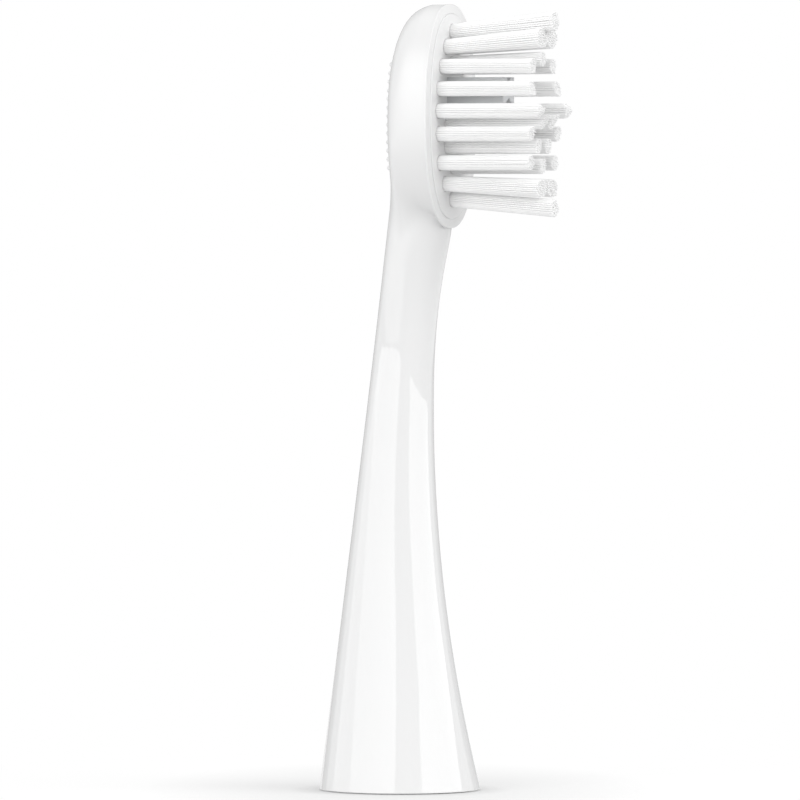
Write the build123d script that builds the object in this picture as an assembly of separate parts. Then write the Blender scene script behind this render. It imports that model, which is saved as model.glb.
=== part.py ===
from build123d import *
import os
from math import cos, pi, radians, sin, sqrt

# Brush head for a sonic toothbrush: a hollow stem with an oval head, a welded tuft plate with
# twenty-two trimmed tufts, a soft massage post, a studded tongue pad and an inner drive socket.
# Millimetres. The origin is the centre of the base ring on the drive axis, +Z runs up the stem
# and +X is the way the bristles point. The part is symmetric about the XZ plane.

# Stem
BASE_RADIUS = 7.85
BASE_EDGE_ROUND = 0.25
WAIST_HEIGHT = 36.0
WAIST_FRONT = 3.27
NECK_FRONT = 5.2
NECK_BACK = -1.0
NECK_BACK_SLOPE = 0.126
NECK_SWEEP = 2.5
NECK_FLARE = 2.6
NECK_FLARE_RUN = 3.4
STEM_STATIONS = 12
SECTION_POINTS = 16

# Head
HEAD_CENTRE_HEIGHT = 65.2
HEAD_HALF_LENGTH = 10.8
HEAD_HALF_WIDTH = 5.8
OVAL_POWER = 2.35
OVAL_POINTS = 24
FACE_X = 5.46
HEAD_SIDE_DEPTH = 1.7
HEAD_BACK_DEPTH = 3.65
HEAD_BACK_POWER = 3.0
HEAD_BACK_DROP = 0.95
HEAD_BACK_STEPS = 6
HEAD_BACK_SWEEP = 87
HALVINGS = 40
FACE_EDGE_ROUND = 0.25

# Tuft plate and its seat
RIM_WIDTH = 0.9
PLATE_THICKNESS = 2.0
PLATE_PROUD = 0.15
PLATE_EDGE_ROUND = 0.1
PLATE_FIT = 0.02
SEAT_OPENING = 2.0
SEAT_LEDGE = 0.8
ROOT_SPACE_DEPTH = 0.6

# Tufts: places in the ring are shares of the ring's half length and half width
TUFT_RADIUS = 0.735
TUFT_HOLE_FIT = 0.02
TUFT_RIDGES = 18
TUFT_RIDGE_DEPTH = 0.04
TUFT_ROOT_RADIUS = 0.85
TUFT_ROOT_DEPTH = 0.4
TUFT_EDGE_MARGIN = 1.72
TUFT_TRIM_SPARE = 2.0
# along the ring, across the ring, lean outwards in degrees, spread of the tip
RING_TUFTS = [
    (1.0, 0.0, 4.9, 1.35),
    (0.817, 0.44, 4.5, 1.42),
    (0.585, 0.74, 0.0, 1.0),
    (0.32, 0.925, 0.0, 1.0),
    (0.06, 1.0, 0.0, 1.0),
    (-0.21, 0.97, 0.0, 1.0),
    (-0.55, 0.89, 0.0, 1.0),
    (-0.795, 0.515, -2.5, 1.25),
    (-0.98, 0.0, -4.4, 1.22),
]
INNER_TUFTS = [
    (0.62, 0.0, 2.2, 1.0),
    (-0.07, 0.33, 0.0, 1.0),
    (-0.355, 0.36, 0.0, 1.0),
    (-0.59, 0.0, 0.0, 1.0),
]

# Trim of the tips: a wave along the head, as lengths above the plate
TRIM_LENGTH = 9.58
TRIM_CREST = 1.4
TRIM_CREST_OFFSET = 0.5
TRIM_CREST_WIDTH = 1.05
TRIM_SECOND_RISE = 0.48
TRIM_SECOND_START = 6.1
TRIM_END_RISE = 0.85
TRIM_END_START = 7.95
TRIM_STEP_RUN = 0.35
TRIM_STEPS = 64

# Massage post
POST_ALONG = 0.305
POST_WIDTH = 2.5
POST_NOTCH_WIDTH = 1.3
POST_NOTCH_DEPTH = 0.5
POST_LENGTH = 6.0
POST_TIP_ROUND = 0.12
POST_STEM_RADIUS = 0.8

# Tongue pad on the back of the head
PAD_END_MARGIN = 4.6
PAD_SIDE_MARGIN = 2.0
PAD_CORNER = 2.0
PAD_THICKNESS = 1.2
STUD_FOOT_RADIUS = 0.33
STUD_TIP_RADIUS = 0.15
STUD_HEIGHT = 0.25
STUD_ROWS = 13
STUD_COLUMNS = 7
STUD_END_MARGIN = 1.22
STUD_SIDE_MARGIN = 0.56

# Drive socket, its bore and the hollow below it
WALL = 1.15
SHAFT_RADIUS = 2.0
SHAFT_FIT = 0.03
SOCKET_FOOT = 9.0
SOCKET_TOP = 23.0
SOCKET_WALL = 0.87
SOCKET_CAP = 1.0
SOCKET_FLANGE_RADIUS = 3.9
SOCKET_FLANGE = 1.2
SOCKET_FIT = 0.04
GUIDE_LENGTH = 7.0
KEY_STEP = 0.25
SHAFT_FLAT = 1.3
BORE_LEAD_IN = 0.4

# Spring clip in the socket's side window
CLIP_THICKNESS = 0.25
CLIP_WIDTH = 2.2
CLIP_LENGTH = 4.6
CLIP_BOW = 1.05
CLIP_FIT = 0.05
CLIP_END_MARGIN = 0.6

# Worked out from the driving dimensions
HEAD_FOOT_HEIGHT = HEAD_CENTRE_HEIGHT - HEAD_HALF_LENGTH
STEM_TOP = HEAD_CENTRE_HEIGHT
FLARE_START = HEAD_FOOT_HEIGHT - NECK_FLARE_RUN
HEAD_BACK_START = FACE_X - HEAD_SIDE_DEPTH
PAD_HALF_LENGTH = HEAD_HALF_LENGTH - PAD_END_MARGIN
PAD_HALF_WIDTH = HEAD_HALF_WIDTH - PAD_SIDE_MARGIN
STUD_ROW_PITCH = 2 * (PAD_HALF_LENGTH - STUD_END_MARGIN) / (STUD_ROWS - 1)
STUD_COLUMN_PITCH = 2 * (PAD_HALF_WIDTH - STUD_SIDE_MARGIN) / (STUD_COLUMNS - 1)
PAD_FLOOR_X = HEAD_BACK_START - HEAD_BACK_DEPTH + PAD_THICKNESS
PLATE_HALF_LENGTH = HEAD_HALF_LENGTH - RIM_WIDTH
PLATE_HALF_WIDTH = HEAD_HALF_WIDTH - RIM_WIDTH
PLATE_TOP = FACE_X + PLATE_PROUD
PLATE_BOTTOM = PLATE_TOP - PLATE_THICKNESS
RING_HALF_LENGTH = PLATE_HALF_LENGTH - TUFT_EDGE_MARGIN
RING_HALF_WIDTH = PLATE_HALF_WIDTH - TUFT_EDGE_MARGIN
BORE_RADIUS = SHAFT_RADIUS + SHAFT_FIT
KEY_RADIUS = BORE_RADIUS - KEY_STEP
SOCKET_RADIUS = BORE_RADIUS + SOCKET_WALL
SOCKET_SHOULDER = SOCKET_FOOT + SOCKET_FLANGE


def front_of_stem(height):
    """Front edge of the side outline: two power curves that meet at the waist."""
    if height <= WAIST_HEIGHT:
        share = (WAIST_HEIGHT - height) / WAIST_HEIGHT
        return WAIST_FRONT + (BASE_RADIUS - WAIST_FRONT) * share**2
    share = min((height - WAIST_HEIGHT) / (HEAD_FOOT_HEIGHT - WAIST_HEIGHT), 1.0)
    return WAIST_FRONT + (NECK_FRONT - WAIST_FRONT) * share**NECK_SWEEP


def back_of_stem(height):
    """Back edge of the side outline: a straight line from the base to the neck, carried on into the head."""
    if height <= HEAD_FOOT_HEIGHT:
        return -BASE_RADIUS + (BASE_RADIUS + NECK_BACK) * height / HEAD_FOOT_HEIGHT
    return NECK_BACK + NECK_BACK_SLOPE * (height - HEAD_FOOT_HEIGHT)


def stem_half_width(height):
    """Half width of the round section, flared where the neck enters the head."""
    share = max(0.0, (height - FLARE_START) / (STEM_TOP - FLARE_START))
    return (front_of_stem(height) - back_of_stem(height)) / 2 + NECK_FLARE * share**2


def stem_section(height):
    """Section between the front and back edges, round apart from the flare."""
    front, back = front_of_stem(height), back_of_stem(height)
    radius, centre = (front - back) / 2, (front + back) / 2
    angles = [2 * pi * i / SECTION_POINTS for i in range(SECTION_POINTS)]
    points = [(centre + radius * cos(a), stem_half_width(height) * sin(a), height) for a in angles]
    return make_face(Spline(points, periodic=True))


def stem_back_x(across, height):
    """X of the stem's back at a place across it and a height."""
    front, back = front_of_stem(height), back_of_stem(height)
    share = min(1.0, abs(across) / stem_half_width(height))
    return (front + back) / 2 - (front - back) / 2 * sqrt(1 - share**2)


def oval(half_length, half_width, x, drop=0.0):
    """Superellipse outline facing +X, centred on the head."""
    points = []
    for i in range(OVAL_POINTS):
        angle = 2 * pi * (i + 0.5) / OVAL_POINTS
        along, across = cos(angle), sin(angle)
        reach = (abs(along) ** OVAL_POWER + abs(across) ** OVAL_POWER) ** (-1 / OVAL_POWER)
        z = HEAD_CENTRE_HEIGHT - drop + half_length * reach * along
        points.append((x, half_width * reach * across, z))
    return make_face(Spline(points, periodic=True))


def oval_block(half_length, half_width, x_low, x_high):
    """Oval outline carried straight along X."""
    face = oval(half_length, half_width, x_low)
    return extrude(face, amount=x_high - x_low, dir=(1, 0, 0))


def head_back():
    """Rounded back of the head: ovals that shrink and sink along -X by a power law."""
    sections = []
    for i in range(HEAD_BACK_STEPS + 1):
        angle = radians(HEAD_BACK_SWEEP) * i / HEAD_BACK_STEPS
        shrink = cos(angle) ** (2 / HEAD_BACK_POWER)
        sunk = sin(angle) ** (2 / HEAD_BACK_POWER)
        sections.append(oval(HEAD_HALF_LENGTH * shrink, HEAD_HALF_WIDTH * shrink,
                             HEAD_BACK_START - HEAD_BACK_DEPTH * sunk, HEAD_BACK_DROP * sunk))
    return loft(sections)


def head_back_x(across, height):
    """X of the head's back at a place across it and a height, found by halving the depth."""
    low, high = 0.0, 1.0
    for _ in range(HALVINGS):
        sunk = (low + high) / 2
        shrink = (1 - sunk**HEAD_BACK_POWER) ** (1 / HEAD_BACK_POWER)
        along = height - HEAD_CENTRE_HEIGHT + HEAD_BACK_DROP * sunk
        reach = abs(along / HEAD_HALF_LENGTH) ** OVAL_POWER + abs(across / HEAD_HALF_WIDTH) ** OVAL_POWER
        if reach < shrink**OVAL_POWER:
            low = sunk
        else:
            high = sunk
    return HEAD_BACK_START - HEAD_BACK_DEPTH * low


def post_place():
    """Height of the massage post on the head's centre line."""
    return HEAD_CENTRE_HEIGHT + POST_ALONG * RING_HALF_LENGTH


def make_outer():
    """Stem, neck and head joined, with a rounded base edge and a rounded edge round the face."""
    heights = [STEM_TOP * i / (STEM_STATIONS - 1) for i in range(STEM_STATIONS)]
    stem = loft([stem_section(height) for height in heights])
    stem = fillet(stem.edges().sort_by(Axis.Z)[0], BASE_EDGE_ROUND)
    flange = oval_block(HEAD_HALF_LENGTH, HEAD_HALF_WIDTH, HEAD_BACK_START, FACE_X)
    flange = fillet(flange.edges().sort_by(Axis.X)[-1], FACE_EDGE_ROUND)
    return stem + (flange + head_back())


def make_tongue_pad(outer):
    """Part of the head's back inside a rounded outline, flat below, with rows of small round studs."""
    outline = Plane.YZ * RectangleRounded(2 * PAD_HALF_WIDTH, 2 * PAD_HALF_LENGTH, PAD_CORNER)
    block = extrude(Pos(PAD_FLOOR_X, 0, HEAD_CENTRE_HEIGHT) * outline, amount=HEAD_BACK_DEPTH, dir=(-1, 0, 0))
    bed = block & outer
    stud = Cone(STUD_FOOT_RADIUS, STUD_TIP_RADIUS, 2 * STUD_HEIGHT, rotation=(0, -90, 0))
    studs = []
    for row in range(STUD_ROWS):
        height = HEAD_CENTRE_HEIGHT + (row - (STUD_ROWS - 1) / 2) * STUD_ROW_PITCH
        for column in range(STUD_COLUMNS):
            across = (column - (STUD_COLUMNS - 1) / 2) * STUD_COLUMN_PITCH
            x = min(head_back_x(across, height), stem_back_x(across, height))
            studs.append(Pos(x, across, height) * stud)
    return bed, bed + studs


def make_body(outer, pad_bed):
    """The outer form with the seats for the plate, the pad and the socket, hollow from below."""
    seat = oval_block(PLATE_HALF_LENGTH + PLATE_FIT, PLATE_HALF_WIDTH + PLATE_FIT,
                      PLATE_BOTTOM, FACE_X + SEAT_OPENING)
    root_space = oval_block(PLATE_HALF_LENGTH - SEAT_LEDGE, PLATE_HALF_WIDTH - SEAT_LEDGE,
                            PLATE_BOTTOM - ROOT_SPACE_DEPTH, PLATE_BOTTOM)
    mouth_radius = BASE_RADIUS - WALL
    throat_radius = front_of_stem(SOCKET_SHOULDER) - WALL
    hollow = loft([Circle(mouth_radius), Pos(0, 0, SOCKET_SHOULDER) * Circle(throat_radius)])
    pocket_depth = SOCKET_TOP + SOCKET_FIT - SOCKET_SHOULDER
    pocket = extrude(Pos(0, 0, SOCKET_SHOULDER) * Circle(SOCKET_RADIUS + SOCKET_FIT), amount=pocket_depth)
    return outer - pad_bed - seat - root_space - hollow - pocket


def make_plate(tufts):
    """Oval plate with a hole along each tuft's axis and one for the post."""
    plate = oval_block(PLATE_HALF_LENGTH, PLATE_HALF_WIDTH, PLATE_BOTTOM, PLATE_TOP)
    plate = fillet(plate.edges().sort_by(Axis.X)[-1], PLATE_EDGE_ROUND)
    holes = []
    for along, across, lean, spread in tufts:
        frame = tuft_frame(along, across, lean)
        hole = Cylinder(TUFT_RADIUS + TUFT_HOLE_FIT, 4 * PLATE_THICKNESS)
        holes.append(frame * hole)
    post_hole = Cylinder(POST_STEM_RADIUS + TUFT_HOLE_FIT, 4 * PLATE_THICKNESS, rotation=(0, 90, 0))
    holes.append(Pos(PLATE_TOP, 0, post_place()) * post_hole)
    return plate - holes


def all_tufts(rows):
    """Rows on one side, mirrored to the other side where they are off the centre line."""
    places = []
    for along, across, lean, spread in rows:
        sides = (-1, 1) if across else (1,)
        places += [(along, side * across, lean, spread) for side in sides]
    return places


def tuft_frame(along, across, lean):
    """Frame whose Z is the tuft's axis, from the plate's top face outwards."""
    place = (PLATE_TOP, across * RING_HALF_WIDTH, HEAD_CENTRE_HEIGHT + along * RING_HALF_LENGTH)
    outwards = (cos(radians(lean)), 0, sin(radians(lean)))
    return Plane(origin=place, x_dir=(0, 1, 0), z_dir=outwards)


def trim_step(along, start):
    """Share of a step up towards both ends of the head, from zero before its start to one past its run."""
    return min(1.0, max(0.0, abs(along) - start) / TRIM_STEP_RUN)


def trim_length(height):
    """Length above the plate at a height: a bell-shaped crest near the middle and two steps up at each end."""
    along = height - HEAD_CENTRE_HEIGHT
    crest = TRIM_CREST / (1 + ((along - TRIM_CREST_OFFSET) / TRIM_CREST_WIDTH) ** 2)
    second = TRIM_SECOND_RISE * trim_step(along, TRIM_SECOND_START)
    last = TRIM_END_RISE * trim_step(along, TRIM_END_START)
    return TRIM_LENGTH + crest + second + last


def make_trim_block():
    """Everything behind the trimmed wave, as one block across the head."""
    half = HEAD_HALF_LENGTH + TUFT_TRIM_SPARE
    heights = [HEAD_CENTRE_HEIGHT - half + 2 * half * i / TRIM_STEPS for i in range(TRIM_STEPS + 1)]
    wave_points = [(PLATE_TOP + trim_length(height), 0, height) for height in heights]
    back = PLATE_BOTTOM - 2 * ROOT_SPACE_DEPTH
    wave = Polyline(*wave_points, (back, 0, heights[-1]), (back, 0, heights[0]), close=True)
    return extrude(make_face(wave), amount=HEAD_HALF_WIDTH, both=True)


def ridged_outline(radius):
    """Round outline with one shallow ridge for each outer filament."""
    points = []
    for i in range(2 * TUFT_RIDGES):
        angle = pi * i / TUFT_RIDGES
        reach = radius + TUFT_RIDGE_DEPTH * (i % 2)
        points.append((reach * cos(angle), reach * sin(angle)))
    return make_face(Polyline(*points, close=True))


def make_tuft(along, across, lean, spread, trim_block):
    """Fused root behind the plate, round shank in its hole, ridged bundle trimmed by the wave."""
    frame = tuft_frame(along, across, lean)
    length = TRIM_LENGTH + TRIM_SECOND_RISE + TRIM_END_RISE + TUFT_TRIM_SPARE
    foot = ridged_outline(TUFT_RADIUS - TUFT_RIDGE_DEPTH)
    tip = Pos(0, 0, length) * ridged_outline((TUFT_RADIUS - TUFT_RIDGE_DEPTH) * spread)
    bundle = frame * loft([foot, tip], ruled=True) & trim_block
    sunk = PLATE_THICKNESS / cos(radians(lean))
    shank = frame * Pos(0, 0, -sunk / 2) * Cylinder(TUFT_RADIUS, sunk + TUFT_RADIUS * abs(sin(radians(lean))))
    place = frame.origin - frame.z_dir * sunk
    root = Pos(PLATE_BOTTOM - TUFT_ROOT_DEPTH / 2, place.Y, place.Z)
    root = root * Cylinder(TUFT_ROOT_RADIUS, TUFT_ROOT_DEPTH, rotation=(0, 90, 0))
    return bundle + shank + root


def make_post():
    """Post with an X section on a round stem that passes through the plate to a flat foot."""
    half, notch = POST_WIDTH / 2, POST_NOTCH_WIDTH / 2
    inner = half - POST_NOTCH_DEPTH
    quarter = [(half, notch), (half, half), (notch, half), (0, inner)]
    points = []
    for turn in range(4):
        cosine, sine = round(cos(turn * pi / 2)), round(sin(turn * pi / 2))
        points += [(cosine * x - sine * y, sine * x + cosine * y) for x, y in quarter]
    frame = Plane(origin=(PLATE_TOP, 0, post_place()), x_dir=(0, 1, 0), z_dir=(1, 0, 0))
    body = extrude(make_face(Polyline(*points, close=True)), amount=POST_LENGTH)
    body = fillet(body.edges().group_by(Axis.Z)[-1], POST_TIP_ROUND)
    stem = Pos(0, 0, -PLATE_THICKNESS / 2) * Cylinder(POST_STEM_RADIUS, PLATE_THICKNESS)
    foot = Pos(0, 0, -PLATE_THICKNESS - TUFT_ROOT_DEPTH / 2) * Cylinder(TUFT_ROOT_RADIUS, TUFT_ROOT_DEPTH)
    return frame * (body + stem + foot)


def clip_window():
    """Window in the socket's front wall that holds the spring clip."""
    length = CLIP_LENGTH + 2 * CLIP_FIT
    centre = SOCKET_FOOT + GUIDE_LENGTH + CLIP_END_MARGIN + length / 2
    return centre, length


def make_socket():
    """Flanged barrel with a round guide bore, a narrower D section above it and a window for the clip."""
    barrel = extrude(Pos(0, 0, SOCKET_FOOT) * Circle(SOCKET_RADIUS), amount=SOCKET_TOP - SOCKET_FOOT)
    flange = extrude(Pos(0, 0, SOCKET_FOOT) * Circle(SOCKET_FLANGE_RADIUS), amount=SOCKET_FLANGE)
    guide = extrude(Pos(0, 0, SOCKET_FOOT) * Circle(BORE_RADIUS), amount=GUIDE_LENGTH)
    flat_block = Pos(SHAFT_FLAT + BORE_RADIUS, 0) * Rectangle(2 * BORE_RADIUS, 4 * BORE_RADIUS)
    keyed = Pos(0, 0, SOCKET_FOOT + GUIDE_LENGTH) * (Circle(KEY_RADIUS) - flat_block)
    keyed_bore = extrude(keyed, amount=SOCKET_TOP - SOCKET_CAP - SOCKET_FOOT - GUIDE_LENGTH)
    socket = barrel + flange - guide - keyed_bore
    mouth = socket.edges().filter_by(GeomType.CIRCLE).group_by(Axis.Z)[0].sort_by(SortBy.RADIUS)[0]
    socket = chamfer(mouth, BORE_LEAD_IN)
    centre, length = clip_window()
    window = Pos(SHAFT_FLAT - CLIP_FIT + SOCKET_RADIUS / 2, 0, centre)
    return socket - window * Box(SOCKET_RADIUS, CLIP_WIDTH + 2 * CLIP_FIT, length)


def make_clip():
    """Leaf spring: a flat strip with its middle bowed in to the shaft's flat."""
    centre, length = clip_window()
    outer = sqrt((SOCKET_RADIUS + SOCKET_FIT) ** 2 - (CLIP_WIDTH / 2) ** 2) - CLIP_FIT - CLIP_THICKNESS
    half = CLIP_LENGTH / 2
    ends = [(outer, 0, centre - half), (outer, 0, centre + half)]
    bow = ThreePointArc(ends[0], (outer - CLIP_BOW, 0, centre), ends[1])
    outer_bow = ThreePointArc((outer + CLIP_THICKNESS, 0, centre + half),
                              (outer - CLIP_BOW + CLIP_THICKNESS, 0, centre),
                              (outer + CLIP_THICKNESS, 0, centre - half))
    lower = Line(outer_bow @ 1, ends[0])
    upper = Line(ends[1], outer_bow @ 0)
    return extrude(make_face([bow, upper, outer_bow, lower]), amount=CLIP_WIDTH / 2, both=True)


os.makedirs("parts", exist_ok=True)
ring = all_tufts(RING_TUFTS)
inner = all_tufts(INNER_TUFTS)
trim = make_trim_block()
outer = make_outer()
pad_bed, tongue_pad = make_tongue_pad(outer)
pieces = {
    "brush_body": make_body(outer, pad_bed),
    "bristle_plate": make_plate(ring + inner),
    "massage_post": make_post(),
    "tongue_pad": tongue_pad,
    "drive_socket": make_socket(),
    "spring_clip": make_clip(),
}
for number, place in enumerate(ring, 1):
    pieces[f"ring_tuft_{number:02d}"] = make_tuft(*place, trim)
for number, place in enumerate(inner, 1):
    pieces[f"inner_tuft_{number:02d}"] = make_tuft(*place, trim)
for name, piece in pieces.items():
    export_step(piece, f"parts/{name}.step")
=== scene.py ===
"""Studio scene of an electric toothbrush head, laid out as a Blender add-on and run as a script.

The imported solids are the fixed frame. The moulded body, the studded pad and the nylon tufts get
finer surfaces worked out with numpy; the other solids keep their shapes and get finishes.
All sizes are in metres, +Z runs up the stem and +X is the way the bristles point.
"""

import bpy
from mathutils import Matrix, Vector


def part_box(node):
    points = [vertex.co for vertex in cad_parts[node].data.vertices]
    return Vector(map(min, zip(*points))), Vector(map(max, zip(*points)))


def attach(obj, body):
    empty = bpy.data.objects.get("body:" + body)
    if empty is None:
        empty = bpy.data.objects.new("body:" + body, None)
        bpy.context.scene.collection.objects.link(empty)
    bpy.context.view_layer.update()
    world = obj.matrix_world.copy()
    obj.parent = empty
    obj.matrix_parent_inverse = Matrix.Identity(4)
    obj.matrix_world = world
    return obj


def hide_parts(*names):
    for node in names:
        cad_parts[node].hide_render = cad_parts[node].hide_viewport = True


bl_info = {
    "name": "Toothbrush head dressing",
    "version": (1, 0, 0),
    "blender": (4, 5, 0),
    "location": "View3D > Sidebar > Brush head",
    "description": "Dresses the solids of an electric toothbrush head and sets up its studio",
    "category": "Object",
}

import bpy
import numpy as np
from bpy.props import FloatProperty, FloatVectorProperty, IntProperty, PointerProperty
from mathutils import Vector

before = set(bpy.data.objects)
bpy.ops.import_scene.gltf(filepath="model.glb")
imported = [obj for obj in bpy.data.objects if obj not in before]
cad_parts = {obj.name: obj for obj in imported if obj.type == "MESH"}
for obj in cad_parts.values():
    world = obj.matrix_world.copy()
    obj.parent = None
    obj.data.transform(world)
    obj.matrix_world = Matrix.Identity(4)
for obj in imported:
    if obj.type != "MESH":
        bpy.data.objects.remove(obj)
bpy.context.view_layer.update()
BODY = "root"
MM = 0.001
PLATE_LOW, PLATE_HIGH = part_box("bristle_plate")
PAD_LOW, PAD_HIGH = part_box("tongue_pad")
SOCKET_LOW, SOCKET_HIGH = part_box("drive_socket")
PAD_HALF_WIDTH = (PAD_HIGH.y - PAD_LOW.y) / 2
PAD_HALF_LENGTH = (PAD_HIGH.z - PAD_LOW.z) / 2
ACROSS = np.array([0.0, 1.0, 0.0])
BLACK = (0.0, 0.0, 0.0, 1.0)
WHITE = (1.0, 1.0, 1.0, 1.0)

# Rounds of halving in a search, and of fitting a filament's end to the trim
HALVINGS = 26
TRIM_ROUNDS = 4

# How sharply the neck's front curve eases out at the head's foot
NECK_EASE = 18

# Powers that crowd the tipped rings towards the face and lengthen their reach towards it
TURN_POWER = 1.65
REACH_POWER = 3

# Counts of rings and of points round them
BODY_COLUMNS = 144
STEM_ROWS = 54
HEAD_ROWS = 88
FACE_STEPS = 6
BASE_STEPS = 5
PAD_COLUMNS = 120
PAD_ROWS = 24
STUD_SIDES = 10
FILAMENT_SIDES = 8
FILAMENT_STEPS = 2
ROOT_SIDES = 20
PANEL_ROWS = 90
PANEL_COLUMNS = 25

# Angles in radians above which an edge stays sharp
BODY_SHARP = 0.7
TUFT_SHARP = 1.2

# Pad: shares of the outline that its flat spans, (share, rise) of its edge, and share of its bed filled
PAD_SPAN = (0.06, 0.97)
PAD_EDGE = np.array([(0.985, 0.9), (0.995, 0.4), (1.0, -0.8)])
PAD_FILL = 0.8

# Angles of a stud's rings from its tip
STUD_ANGLES = np.pi * np.linspace(0.62, 0.16, 4)

# Filaments in each ring of a tuft, twist from ring to ring, and unevenness as a share of their radius
RING_COUNTS = (1, 6, 12, 18, 24)
RING_TWIST = 0.35
RING_UNEVEN = 0.04

# Rounded end of a filament: shares of the round left to its end, and widths there
TIP_PLACES = np.array([0.45, 0.12])
TIP_WIDTHS = (0.86, 0.5)

# Melted root: shares of its depth and radius, from the plate backwards
ROOT_PROFILE = np.array([(0, 0.8), (0, 0.95), (0.25, 1.0), (0.85, 1.0), (1.0, 0.94), (1.0, 0.7)])

# Finishes: roughness, mottle, lumps and grains per metre, depth of the grain, and other fixed values
FINISHES = {
    "gloss_white_moulding": (0.02, 0.012, 260, 5200, 0.0004 * MM, {"IOR": 1.5}),
    "soft_white_pad": (0.3, 0.02, 400, 6500, 0.006 * MM, {"IOR": 1.45}),
    # The nylon's Emission Strength is a painted glow, standing in for light let through the translucent
    # filaments
    "satin_nylon_painted_glow": (0.34, 0.015, 900, 9000, 0.002 * MM, {
        "IOR": 1.53, "Sheen Weight": 0.4, "Sheen Roughness": 0.5, "Emission Strength": 0.032}),
    "satin_white_plate": (0.22, 0.02, 500, 6000, 0.004 * MM, {}),
    "soft_grey_post": (0.5, 0.04, 700, 7000, 0.006 * MM, {}),
    "natural_white_insert": (0.4, 0.03, 400, 5000, 0.006 * MM, {}),
    "spring_steel": (0.28, 0.08, 900, 9000, 0.003 * MM, {"Metallic": 1.0}),
}
BUMP_STRENGTH = 0.35
GRAIN_DETAIL = 3.0
LUMP_DETAIL = 2.0
ROUGH_SWING = 0.4

# Roughness that the body gains from the neck up, and its ramp: start and slope per metre
BODY_SATIN = 0.24
SATIN_RAMP = (46 * MM, 100)

# Lamps: azimuth from the camera and elevation in degrees, and the side of the square in metres
KEY_LAMP = (-40, 10, 0.5)
SIDE_LAMP = (66, 28, 0.7)
LAMP_DISTANCE = 0.9
PANEL_DISTANCE = 0.8
NECK_PANEL_DISTANCE = 0.3

# Floor: half its side, and ramps by distance from the axis for the white far off and for two painted shades
FLOOR_HALF = 3.0
FAR_RAMP = (12 * MM, 25)
WIDE_PAINTED_SHADE_RAMP = (26 * MM, -55)
CLOSE_PAINTED_SHADE_RAMP = (10.8 * MM, -330)

# Depths of the two painted shades, squeeze of the wide one, and shares of white in shadow and glow
WIDE_PAINTED_SHADE = 0.13
CLOSE_PAINTED_SHADE = 0.1
OVAL_SQUEEZE = 0.6
SHADOW_SHARE = 0.6
GLOW_SHARE = 0.43

# Camera: width of the frame in millimetres and clip distances in metres
SENSOR_WIDTH = 36.0
CLIP_RANGE = (0.01, 20.0)


def length(name, default, description):
    """Length given in millimetres as a property in metres, shown with its unit in the panel."""
    return FloatProperty(name=name, description=description, default=default * MM, min=0.0,
                         precision=5, subtype="DISTANCE", unit="LENGTH")


def ratio(name, default, description):
    """Plain number as a property."""
    return FloatProperty(name=name, description=description, default=default, precision=3)


def colour(name, default, description):
    """Linear colour as a property."""
    return FloatVectorProperty(name=name, description=description, default=default, size=3,
                               min=0.0, max=1.0, subtype="COLOR")


class BrushStemSizes(bpy.types.PropertyGroup):
    """Sizes of the hollow stem and neck."""

    base_radius: length("Base radius", 7.85, "Outer radius of the base ring")
    base_round: length("Base edge round", 0.05, "Rounding of the base ring's outer edge")
    foot_height: length("Foot height", 0.1, "Height of the thin relief under the base ring's outer edge")
    foot_inset: length("Foot inset", 0.5, "How far that relief runs in")
    mouth_radius: length("Mouth radius", 6.7, "Inner radius of the hollow at the base")
    throat_radius: length("Throat radius", 4.47, "Inner radius of the hollow at its top")
    pocket_radius: length("Pocket radius", 2.94, "Radius of the pocket round the drive socket")
    mouth_bevel: length("Mouth bevel", 0.2, "Bevel of the hollow's edge at the base")
    shoulder_rise: length("Shoulder rise", 1.2, "Height of the hollow's shoulder over the socket's foot")
    pocket_gap: length("Pocket gap", 0.04, "Clear gap over the drive socket")
    waist_height: length("Waist height", 36, "Height at which the front edge is slimmest")
    waist_front: length("Waist front", 3.27, "Front edge from the drive axis at the waist")
    neck_front: length("Neck front", 5.4, "Front edge from the drive axis under the head")
    neck_back: length("Neck back", 1.0, "Back edge behind the drive axis under the head")
    neck_sweep: ratio("Neck sweep", 2.5, "Power of the front curve from the waist to the head")
    neck_blend: length("Neck blend", 1.8, "Reach of the soft blend between neck and head")
    blend_fade: length("Blend fade", 4.0, "Run over which the blend fades out towards the face")
    pivot_drop: length("Pivot drop", 10, "How far below the head's foot the rings start to tip")
    lip_blend: length("Lip blend", 0.05, "Blend left under the lip of the face")


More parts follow.
